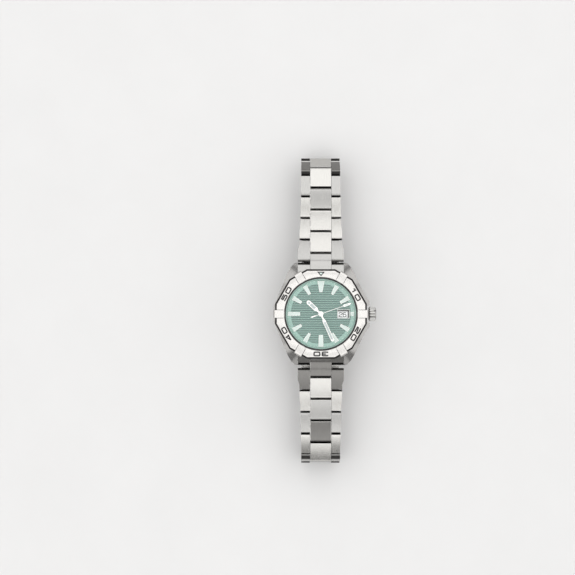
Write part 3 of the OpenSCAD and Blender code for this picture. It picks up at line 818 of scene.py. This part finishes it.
# markers: a polished rim round a bar of luminous paint
first = True
for hour in range(12):
    r0, r1, w0, w1 = {0: (9.6, 14.6, 1.3, 3.2), 6: (9.3, 14.6, 1.9, 2.3), 9: (9.2, 14.7, 1.5, 1.9),
                      3: (13.1, 14.75, 1.4, 2.0)}.get(hour, (9.9, 14.3, 1.25, 2.1))
    frame_pts = [(-w0 / 2, r0), (w0 / 2, r0), (w1 / 2, r1), (-w1 / 2, r1)]
    inset = 0.17
    lume_pts = [(-w0 / 2 + inset, r0 + inset), (w0 / 2 - inset, r0 + inset),
                (w1 / 2 - inset, r1 - inset), (-w1 / 2 + inset, r1 - inset)]
    v, f = prism(frame_pts, SEAT, 6.82)
    rim_piece = piece(f"marker_{hour or 12}", turn_z(v, 30 * hour), f, [POLISH], smooth=0,
                      slot="marker_white", cad=("hour_markers",) if first else ())
    bevel(rim_piece, 0.09, 2, angle=30)
    first = False
    v, f = prism(lume_pts, 6.6, 6.87)
    fill = piece(f"marker_lume_{hour or 12}", turn_z(v, 30 * hour), f, [LUME], smooth=0,
                 slot="marker_white")
    bevel(fill, 0.05, 2, angle=30)

# date window: a polished frame, a black sheet painted as the lens's shadow along its top and right
# edges, and the printed date
frame_pts = [(7.3, -2.0), (12.7, -2.0), (12.7, 2.0), (7.3, 2.0)]
frame_ring = piece("date_frame", *prism(frame_pts, SEAT, 6.6), [POLISH], smooth=0,
                   slot="marker_white")
cut(frame_ring, raw(*window))
bevel(frame_ring, 0.08, 2, angle=30)
lens_shadow = piece("date_lens_shadow", *prism([(7.2, -2.1), (12.9, -2.1), (12.9, 2.1), (7.2, 2.1)], 5.92, 6.0),
             [ENAMEL], smooth=0, slot="dial_green")
# painted shadow: the cut leaves the black sheet showing only along the window's top and right edges
cut(lens_shadow, raw(*prism([(7.5, -1.8), (11.85, -1.8), (11.85, 1.1), (7.5, 1.1)], 5, 7)))
piece("date_wheel", *lathe([(7.3, 5.69), (12.7, 5.69), (12.7, 5.87), (7.3, 5.87)], 160),
      [DATE_WHITE], slot="date_white", body="date_disc", cad=("date_disc",))
v, f = number("26", 1.3, 1.8, 0.42, 0.34, 5.86, 5.885, 0)
piece("date_numeral", [(x + 9.65, y - 0.35, z) for x, y, z in v], f, [ENAMEL], smooth=0,
      body="date_disc", slot="date_white")

# ------------------------------------------------------------------ hands
HAND_ANGLES = {"hour": 313, "minute": 156, "seconds": 70.6}    # degrees clockwise from 12


def hand_part(name, pts, z0, z1, mat, which, edge=0.0, slot="steel_polished", cad=()):
    v, f = prism(pts, z0, z1)
    obj = piece(name, turn_z(v, HAND_ANGLES[which]), f, [mat], smooth=0, body=f"{which}_hand",
                slot=slot, cad=cad)
    if edge:
        bevel(obj, edge, 2, angle=30)
    return obj


def baton(length, neck, width, neck_y, tip):
    """Half-widths along a hand: a thin neck, a parallel body and a rounded point."""
    right = [(neck / 2, 0.6), (neck / 2, neck_y), (width * 0.4, neck_y + 0.35),
             (width / 2, neck_y + 0.9), (width / 2, length - tip),
             (width * 0.44, length - tip * 0.6),
             (width * 0.28, length - tip * 0.22), (width * 0.1, length - 0.02)]
    return right + [(-x, y) for x, y in reversed(right)]


hand_part("hour_blade", baton(8.4, 0.85, 1.9, 2.2, 0.9), 7.05, 7.25, POLISH, "hour", 0.06,
          cad=("hour_hand",))
hand_part("hour_lume", [(-0.6, 3.5), (0.6, 3.5), (0.66, 6.3), (-0.66, 6.3)], 7.2, 7.275,
          HAND_LUME, "hour", slot="marker_white")
hand_part("hour_lume_tip", circle(0.55, 24, 0, 7.15), 7.2, 7.275, HAND_LUME, "hour",
          slot="marker_white")
hand_part("minute_blade", baton(13.4, 0.75, 1.5, 2.6, 1.0), 7.4, 7.6, POLISH, "minute", 0.06,
          cad=("minute_hand",))
hand_part("minute_lume", [(-0.46, 3.9), (0.46, 3.9), (0.48, 11.9), (0, 12.8), (-0.48, 11.9)], 7.55,
          7.625, HAND_LUME, "minute", slot="marker_white")
sweep = [(0.16, -4.7), (0.26, -4.4), (0.26, -2.6), (0.12, -2.2), (0.1, 10.3), (0.42, 10.7),
         (0.55, 11.4), (0.5, 13.2), (0.06, 14.25)]
hand_part("seconds_needle", sweep + [(-x, y) for x, y in reversed(sweep)], 7.76, 7.9, POLISH,
          "seconds", 0.03, cad=("seconds_hand",))
hand_part("seconds_lume", [(-0.3, 11.1), (0.3, 11.1), (0.28, 13.0), (-0.28, 13.0)], 7.85, 7.915,
          LUME, "seconds", slot="marker_white")
for which, outline in (
        ("hour", [(0.66, 5.02), (0.95, 5.02), (0.95, 7.05), (1.12, 7.08), (1.12, 7.24),
                  (1.05, 7.27), (0.66, 7.27)]),
        ("minute", [(0.36, 5.02), (0.6, 5.02), (0.6, 7.4), (0.95, 7.43), (0.95, 7.58),
                    (0.88, 7.62), (0.36, 7.62)])):
    piece(f"{which}_hub", *lathe(outline, 64), [POLISH], body=f"{which}_hand",
          slot="steel_polished")
piece("seconds_hub", *solid_lathe([(0, 5.02), (0.3, 5.02), (0.3, 7.76), (0.7, 7.78), (0.7, 7.92),
                                   (0.5, 8.02), (0, 8.08)], 64), [POLISH], body="seconds_hand",
      slot="steel_polished")

# ------------------------------------------------------------------ crown
FLUTES = 20
N = FLUTES * 8          # points round each section
sections = [(21.1, 2.7), (21.3, 2.75), (21.36, 2.98), (21.6, 3.18), (23.9, 3.18), (24.15, 3.0),
            (24.2, 2.72), (24.4, 2.62), (24.53, 2.3)]
verts, faces = [], []
for x, r in sections:
    for i in range(N):
        a = 2 * math.pi * i / N
        wave = max(0.0, math.cos(FLUTES * a)) ** 0.6
        d = r - (0.3 * wave if r > 2.9 else 0)
        verts.append((x, d * math.cos(a), STEM_Z + d * math.sin(a)))
for k in range(len(sections) - 1):
    a, b = k * N, (k + 1) * N
    faces += [(a + i, a + (i + 1) % N, b + (i + 1) % N, b + i) for i in range(N)]
faces.append(tuple((len(sections) - 1) * N + i for i in range(N)))
faces.append(tuple(reversed(range(N))))
crown = piece("crown_grip", verts, faces, [CROWN_STEEL_PAINTED_SHADE], smooth=0, body="crown",
              slot="steel_polished", cad=("crown",))
hollow = [(0, 20), (1.6, 20), (1.6, 22.6), (0.6, 22.65), (0.6, 23.65), (0, 23.65)]
cut(crown, raw(*solid_lathe(hollow, 48, (0, 0, STEM_Z), axis="x")))
smooth_edges(crown, 38)
for r0, r1 in ((1.9, 1.98), (0.9, 0.98)):
    ring = [(r0, 24.5), (r1, 24.5), (r1, 24.55), (r0, 24.55)]
    piece(f"crown_ring_{int(r0 * 10)}", *lathe(ring, 64, (0, 0, STEM_Z), axis="x"), [PIN],
          body="crown", slot="steel_polished")
pipe = [(0.7, 16.2), (1.45, 16.2), (1.45, 21.35), (1.35, 21.5), (0.7, 21.5)]
piece("crown_pipe", *lathe(pipe, 48, (0, 0, STEM_Z), axis="x"), [PIN], slot="pin_steel",
      cad=("crown_tube",))
rod = [(0, 13.0), (0.4, 13.0), (0.55, 13.2), (0.55, 15.8), (0.42, 15.8), (0.42, 16.3),
       (0.55, 16.3), (0.55, 23.55), (0, 23.6)]
piece("stem_rod", *solid_lathe(rod, 32, (0, 0, STEM_Z), axis="x"), [PIN], body="stem",
      slot="pin_steel", cad=("winding_stem",))

# ------------------------------------------------------------------ case back
back = lathe([(0.01, 0.0), (9.8, 0.0), (9.9, 0.12), (10.5, 0.12), (10.6, 0.0), (13.6, 0.0),
              (13.7, 0.1), (14.0, 0.1), (14.1, 0.0), (15.6, 0.0), (16.1, 0.35), (16.9, 1.1),
              (16.85, 1.2), (15.88, 1.2), (15.88, 2.65), (15.8, 2.7), (14.8, 2.7), (14.8, 0.9),
              (0.01, 0.9)], 128)
obj = piece("back_cover", *back, [STEEL, POLISH], smooth=25, slot="steel_brushed",
            cad=("case_back",))
notches = []
for i in range(6):
    v, f = prism([(-1.2, 14.6), (1.2, 14.6), (1.2, 18.6), (-1.2, 18.6)], -1, 0.5)
    notches.append(raw(turn_z(v, 60 * i), f))
cut(obj, *notches)
smooth_edges(obj, 25)
piece("back_seal", *lathe([(16.0, 1.24), (16.85, 1.24), (16.9, 1.4), (16.9, 1.62), (16.85, 1.72),
                           (16.0, 1.72)]), [RUBBER], slot="gasket_black", cad=("case_back_gasket",))

# sealed inner pieces keep their CAD shapes
for node, mat in (("mainplate", BRASS), ("movement_holder", HOLDER), ("winding_barrel", BRASS),
                  ("train_bridge", STEEL), ("balance_wheel", BRASS), ("balance_bridge", STEEL),
                  ("rotor", STEEL_X)):
    obj = frame["nodes"][node]
    for s in obj.material_slots:
        s.material = mat

# ------------------------------------------------------------------ clasp
OPEN_Y, LINK_Y, LOW_Z = BAR_AT.y, LINK_BAR_AT.y, LINK_BAR_AT.z
F = FLOOR_Z
COVER_PIN, BLADE_PIN = joint_at("clasp_cover_swing"), joint_at("clasp_fold")
WALL, HALF_W = 0.9, 8.5             # the cover's sheet and half its width


def clasp_piece(name, body, pts, lo, hi, axis, mats, edge=0.2, cuts=(), cad=(),
                slot="steel_polished"):
    obj = piece(name, *prism(pts, lo, hi, axis=axis), mats, smooth=0, body=body, slot=slot, cad=cad)
    if cuts:
        cut(obj, *cuts)
    if edge:
        bevel(obj, edge, 3, material=1 if len(mats) > 1 else -1, angle=30)
    smooth_edges(obj, 30)
    return obj


def rect(x0, x1, y0, y1):
    return [(x0, y0), (x1, y0), (x1, y1), (x0, y1)]


plate_y = (LINK_Y + 2.3, OPEN_Y - 1.3)
side_pts = [(LINK_Y - 1.6, F), (OPEN_Y + 1.4, F), (OPEN_Y + 2.0, F + 0.6), (OPEN_Y + 2.0, F + 3.4),
            (OPEN_Y + 0.6, F + 4.4), (LINK_Y - 0.6, F + 4.4), (LINK_Y - 2.0, F + 3.4),
            (LINK_Y - 2.0, F + 0.6)]
clasp_piece("clasp_plate", "cover", rect(-HALF_W, HALF_W, *plate_y), F, F + WALL, "z",
            [STEEL, POLISH], 0.25, cad=("clasp_cover",), slot="steel_brushed",
            cuts=[raw(*prism(rect(-9, 9, y, y + 0.22), F - 1, F + 0.12))
                  for y in (plate_y[0] + 3.2, plate_y[1] - 3.4)])
for name, s in (("right", 1), ("left", -1)):
    x0, x1 = sorted((s * (HALF_W - WALL), s * HALF_W))
    holes = [raw(*prism(circle(0.55, 24, COVER_PIN.y, COVER_PIN.z), x0 - 1, x1 + 1, axis="x")),
             raw(*prism(rect(0.25, 3.75, F + 1.65, F + 3.75), x0 - 1, x1 + 1, axis="x"))]
    holes += [raw(*prism(circle(0.5, 24, OPEN_Y - 2.6 * i, LOW_Z), x0 - 1, x1 + 1, axis="x"))
              for i in range(3)]
    clasp_piece(f"clasp_wall_{name}", "cover", side_pts, x0, x1, "x", [STEEL, POLISH], 0.2,
                cuts=holes, slot="steel_brushed")
    # the push button: a ribbed pad outside and a flange inside
    pad = rect(0.42, 3.58, F + 1.82, F + 3.58)
    b0, b1 = sorted((s * 6.9, s * 9.1))
    grooves = [raw(*prism(rect(0.9 + 0.6 * i, 1.12 + 0.6 * i, F + 1, F + 5),
                          *sorted((s * 8.95, s * 9.5)), axis="x")) for i in range(4)]
    clasp_piece(f"clasp_push_{name}", f"button_{name}", pad, b0, b1, "x", [POLISH], 0.12,
                cuts=grooves, cad=(f"clasp_button_{name}",))
    clasp_piece(f"clasp_push_flange_{name}", f"button_{name}", rect(-0.3, 4.3, F + 1.3, F + 4.1),
                *sorted((s * 6.5, s * 7.0)), "x", [POLISH], 0.1)

# middle blade with its two knuckles
z0 = F + 1.35
blade = [(-5, COVER_PIN.y), (5, COVER_PIN.y), (5, BLADE_PIN.y - 3.0), (4.2, BLADE_PIN.y - 1.8),
         (2.8, BLADE_PIN.y - 1.5), (2.8, BLADE_PIN.y - 0.2), (-2.8, BLADE_PIN.y - 0.2),
         (-2.8, BLADE_PIN.y - 1.5), (-4.2, BLADE_PIN.y - 1.8), (-5, BLADE_PIN.y - 3.0)]
slot_pts = circle(1.3, 24, 0, COVER_PIN.y + 8)[12:] + circle(1.3, 24, 0, BLADE_PIN.y - 9)[:12]
clasp_piece("clasp_blade_middle", "middle_blade", blade, z0, z0 + 0.9, "z", [STEEL, POLISH], 0.15,
            cuts=[raw(*prism(slot_pts, z0 - 1, z0 + 2))], cad=("clasp_middle_blade",))
for name, at, r, x1 in (("cover_end", COVER_PIN, 0.9, 5), ("fold_end", BLADE_PIN, 1.1, 2.8)):
    v, f = lathe([(0.52, -x1), (r - 0.12, -x1), (r, -x1 + 0.12), (r, x1 - 0.12), (r - 0.12, x1),
                  (0.52, x1)], 40, (0, at.y, at.z), axis="x")
    piece(f"clasp_knuckle_{name}", v, f, [POLISH], body="middle_blade", slot="steel_polished")
web = [(BLADE_PIN.y - 1.6, z0), (BLADE_PIN.y + 0.1, z0), (BLADE_PIN.y + 0.4, F + 1.95),
       (BLADE_PIN.y - 0.9, F + 2.6), (BLADE_PIN.y - 1.2, z0 + 0.9)]
clasp_piece("clasp_knuckle_web", "middle_blade", web, -2.7, 2.7, "x", [POLISH], 0.08)
for name, at, half in (("cover", COVER_PIN, 8.3), ("fold", BLADE_PIN, 5.1)):
    rod = [(0, -half), (0.35, -half), (0.5, -half + 0.15), (0.5, half - 0.15), (0.35, half),
           (0, half)]
    piece(f"clasp_pin_{name}", *solid_lathe(rod, 32, (0, at.y, at.z), axis="x"), [PIN],
          body="middle_blade", slot="pin_steel",
          cad=("clasp_hinge_pins",) if name == "cover" else ())

# lower blade with its ears round the last link's bar
z0 = F + 3.45
blade = [(-7.2, LINK_Y + 2.5), (7.2, LINK_Y + 2.5), (7.2, LINK_Y + 4.2), (6.4, LINK_Y + 5.0),
         (5, LINK_Y + 5.4), (5, BLADE_PIN.y - 1.75), (-5, BLADE_PIN.y - 1.75), (-5, LINK_Y + 5.4),
         (-6.4, LINK_Y + 5.0), (-7.2, LINK_Y + 4.2)]
clasp_piece("clasp_blade_lower", "lower_blade", blade, z0, z0 + 0.9, "z", [STEEL, POLISH], 0.15,
            cuts=[raw(*prism(rect(-3.6, 3.6, BLADE_PIN.y - 1.0, BLADE_PIN.y), z0 - 1, z0 + 2))],
            cad=("clasp_lower_blade",))
for name, s in (("right", 1), ("left", -1)):
    k0, k1 = sorted((s * 3.0, s * 5.2))
    knuckle = [(0.55, k0), (1.0, k0), (1.1, k0 + 0.1), (1.1, k1 - 0.1), (1.0, k1), (0.55, k1)]
    v, f = lathe(knuckle, 40, (0, BLADE_PIN.y, BLADE_PIN.z), axis="x")
    piece(f"clasp_fold_ear_{name}", v, f, [POLISH], body="lower_blade", slot="steel_polished")
    web = [(BLADE_PIN.y - 2.0, z0), (BLADE_PIN.y - 0.75, z0), (BLADE_PIN.y - 0.5, z0 + 0.45),
           (BLADE_PIN.y - 0.9, z0 + 0.62), (BLADE_PIN.y - 2.0, z0 + 0.7)]
    clasp_piece(f"clasp_fold_web_{name}", "lower_blade", web, k0, k1, "x", [POLISH], 0.06)
    ear = [(LINK_Y + 1.75 * math.sin(math.radians(a)), LOW_Z - 1.75 * math.cos(math.radians(a)))
           for a in range(0, -181, -15)]
    ear += [(LINK_Y + 1.2, z0 + 0.9), (LINK_Y + 3.1, z0 + 0.9), (LINK_Y + 3.1, z0),
            (LINK_Y + 1.6, LOW_Z - 1.75)]
    e0, e1 = sorted((s * 5.0, s * 7.2))
    clasp_piece(f"clasp_link_ear_{name}", "lower_blade", ear, e0, e1, "x", [POLISH], 0.15,
                cuts=[raw(*prism(circle(0.62, 32, LINK_Y, LOW_Z), e0 - 1, e1 + 1, axis="x"))])
bar = [(0, -7.1), (0.45, -7.1), (0.6, -6.95), (0.6, 6.95), (0.45, 7.1), (0, 7.1)]
piece("clasp_bar_link", *solid_lathe(bar, 32, (0, LINK_Y, LOW_Z), axis="x"), [PIN],
      body="lower_blade", slot="pin_steel", cad=("clasp_link_bar",))
bar = [(0, -8.4), (0.35, -8.4), (0.45, -8.3), (0.45, -7.5), (0.75, -7.5), (0.75, -6.8),
       (0.6, -6.8), (0.6, -6.5), (0.75, -6.5), (0.75, 6.5), (0.6, 6.5), (0.6, 6.8), (0.75, 6.8),
       (0.75, 7.5), (0.45, 7.5), (0.45, 8.3), (0.35, 8.4), (0, 8.4)]
piece("clasp_bar_adjuster", *solid_lathe(bar, 32, (0, OPEN_Y, LOW_Z), axis="x"), [PIN],
      body="cover", slot="pin_steel", cad=("clasp_adjuster_bar",))

# ------------------------------------------------------------------ floor, lights and camera
floor_mat = coated("studio_floor", (0.66, 0.655, 0.65), (0.68, 0.675, 0.67), (0.6, 0.75), 30,
                   0.0001)
mesh = bpy.data.meshes.new("floor")
REACH = 3.0                                # metres
mesh.from_pydata([(x * REACH, y * REACH, FLOOR_Z * MM)
                  for x, y in ((-1, -1), (1, -1), (1, 1), (-1, 1))], [], [(0, 1, 2, 3)])
mesh.materials.append(floor_mat)
floor = bpy.data.objects.new("floor", mesh)
scene.collection.objects.link(floor)


def area_light(name, place, size, size_y, power, aim=(0, 0, 0)):
    data = bpy.data.lights.new(name, "AREA")
    data.shape = "RECTANGLE"
    data.size, data.size_y = size, size_y
    data.energy = power
    obj = bpy.data.objects.new(name, data)
    obj.location = place
    obj.rotation_euler = (Vector(aim) - Vector(place)).to_track_quat("-Z", "Y").to_euler()
    scene.collection.objects.link(obj)


BOX_Z, BOX_W, WALL_W = 1.35, 2.6, 3.2      # metres
# softboxes side by side overhead; the dim ones between give flat steel its greys
for name, y0, y1, radiance in (("middle_box", -0.215, 0.215, 1.5), ("far_dim", 0.22, 0.36, 0.75),
                               ("near_dim", -0.36, -0.22, 0.75), ("far_box", 0.365, 2.2, 1.5),
                               ("near_box", -1.5, -0.365, 1.4)):
    middle, depth = (y0 + y1) / 2, y1 - y0
    area_light(name, (0, middle, BOX_Z), BOX_W, depth, radiance * math.pi * BOX_W * depth,
               aim=(0, middle, 0))
# walls of soft light all round, which edges, rounded ends and side views reflect
for name, place, height, radiance in (
        ("left_wall", (-2.1, 0, 0.95), 1.6, 1.0), ("right_wall", (2.1, 0, 0.95), 1.6, 1.0),
        ("far_wall", (0, 2.9, 0.65), 1.1, 1.0), ("near_wall", (0, -2.6, 0.75), 1.3, 0.9)):
    area_light(name, place, WALL_W, height, radiance * math.pi * WALL_W * height)
world = bpy.data.worlds.new("studio")
scene.world = world
world.use_nodes = True
background = world.node_tree.nodes["Background"]
background.inputs["Color"].default_value = (0.5, 0.5, 0.5, 1)
background.inputs["Strength"].default_value = 0.5

# the camera looks straight down: its height over the dial, the width it sees, and where
CAMERA_H, FRAME_W, DIAL_PLANE = 1.1, 0.2544, 0.008
CAMERA_X, CAMERA_Y = -0.0148, 0.0117
camera = bpy.data.cameras.new("camera")
camera.lens = camera.sensor_width * CAMERA_H / FRAME_W
camera.clip_end = 10
cam = bpy.data.objects.new("camera", camera)
cam.location = (CAMERA_X, CAMERA_Y, CAMERA_H + DIAL_PLANE)
scene.collection.objects.link(cam)
scene.camera = cam
scene.view_settings.view_transform = "Standard"
